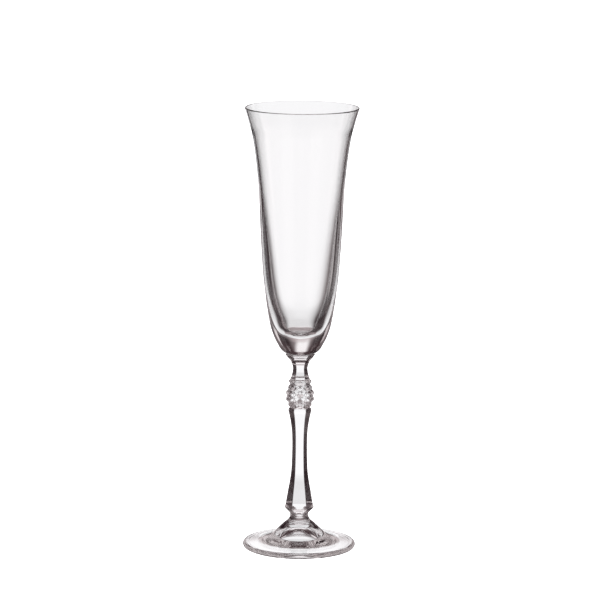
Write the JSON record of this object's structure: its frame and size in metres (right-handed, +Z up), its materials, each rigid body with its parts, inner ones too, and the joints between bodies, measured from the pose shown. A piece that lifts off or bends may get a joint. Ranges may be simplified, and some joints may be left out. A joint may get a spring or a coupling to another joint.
{
  "type": "champagne flute",
  "caption": "Tall clear crystal champagne flute: slim flared bowl with a heavy base on a hexagonal baluster stem with a studded ball knop and a round domed foot.",
  "frame": {"origin": "centre of the foot, on the surface that the glass stands on", "axes": "+Z up along the stem's axis; the stem's hexagon has corners on X and a flat face towards -Y"},
  "size_m": [0.0676, 0.0676, 0.265],
  "materials": {
    "bowl_glass": "clear crystal, blown and fire polished",
    "stem_glass": "clear crystal, pressed with six long facets",
    "knop_glass": "clear crystal, pressed into small pointed studs",
    "foot_glass": "clear crystal, smooth with a fire-polished edge"
  },
  "bodies": {
    "root": {"bowl": "bowl_glass", "neck": "stem_glass", "knop": "knop_glass", "shaft": "stem_glass", "foot": "foot_glass"}
  },
  "joints": []
}
